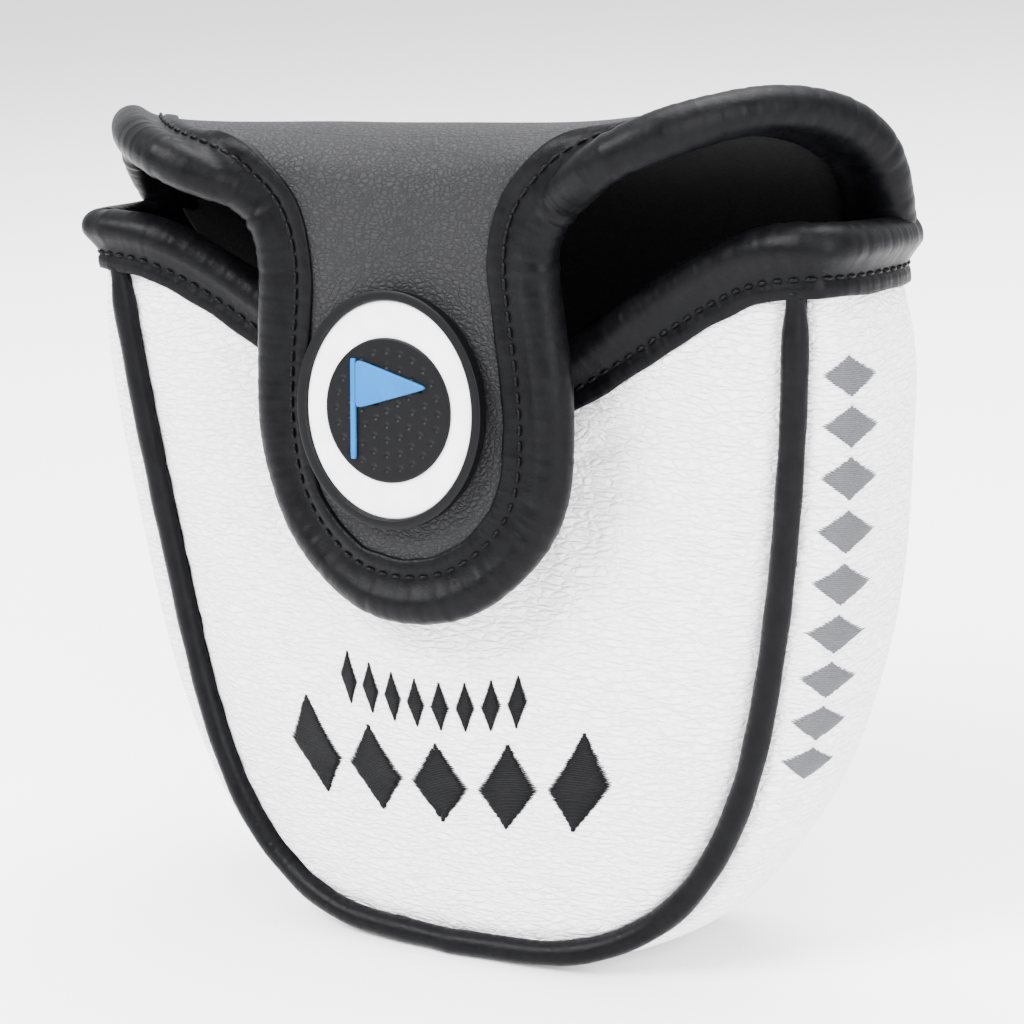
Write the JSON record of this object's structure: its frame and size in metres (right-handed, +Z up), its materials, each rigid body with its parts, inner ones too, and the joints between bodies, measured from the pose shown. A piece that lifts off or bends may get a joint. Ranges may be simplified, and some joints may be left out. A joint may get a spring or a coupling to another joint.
{
  "type": "putter head cover",
  "caption": "Padded pocket with a rounded base, piped seams, a bound mouth and a fold-over flap with a round-ended tongue and an oval moulded badge.",
  "frame": {"origin": "under the middle of the base, on the level the cover stands on, centred left to right and front to back", "axes": "+Z up, from the rounded base to the mouth; the front panel and the badge face -Y; +X is to the right of someone looking at the front"},
  "size_m": [0.149, 0.0518, 0.1445],
  "materials": {
    "white_leather": "soft pebbled grain, satin",
    "grey_leather": "fine pebbled grain, satin",
    "black_leather": "smooth, soft sheen",
    "padding": "soft foam",
    "plush": "short pile",
    "black_thread": "satin thread",
    "grey_thread": "satin thread",
    "magnet_steel": "plated",
    "badge_black": "matt moulded rubber",
    "badge_white": "matt moulded rubber",
    "badge_blue": "matt moulded rubber"
  },
  "bodies": {
    "pocket": {"front_panel": "white_leather", "front_foam": "padding", "front_lining": "plush", "back_panel": "grey_leather", "back_foam": "padding", "back_lining": "plush", "gusset_panel": "white_leather", "gusset_foam": "padding", "gusset_lining": "plush", "front_piping": "black_leather", "front_piping_cord": "padding", "back_piping": "black_leather", "back_piping_cord": "padding", "mouth_binding": "black_leather", "mouth_binding_core": "padding", "ear_bindings": "black_leather", "ear_binding_cores": "padding", "mouth_stitching": "black_thread", "pocket_magnet": "magnet_steel", "small_embroidery": "black_thread", "large_embroidery": "black_thread", "side_embroidery": "grey_thread"},
    "bridge": {"bridge_panel": "grey_leather", "bridge_foam": "padding", "bridge_lining": "plush", "bridge_bindings": "black_leather", "bridge_binding_cores": "padding", "bridge_stitching": "black_thread"},
    "tongue": {"tongue_panel": "grey_leather", "tongue_foam": "padding", "tongue_lining": "plush", "tongue_binding": "black_leather", "tongue_binding_core": "padding", "tongue_stitching": "black_thread", "flap_magnet": "magnet_steel", "badge_base": "badge_black", "badge_field": "badge_white", "badge_ball": "badge_black", "badge_flag": "badge_blue"}
  },
  "joints": [
    {"name": "rear_fold", "type": "hinge", "parent": "pocket", "child": "bridge", "pos_m": [0, 0.01142, 0.1378], "axis": [-1, 0, 0], "range_deg": [0, 100]},
    {"name": "front_fold", "type": "hinge", "parent": "bridge", "child": "tongue", "pos_m": [0, -0.0193, 0.1304], "axis": [-1, 0, 0], "range_deg": [0, 75]}
  ]
}
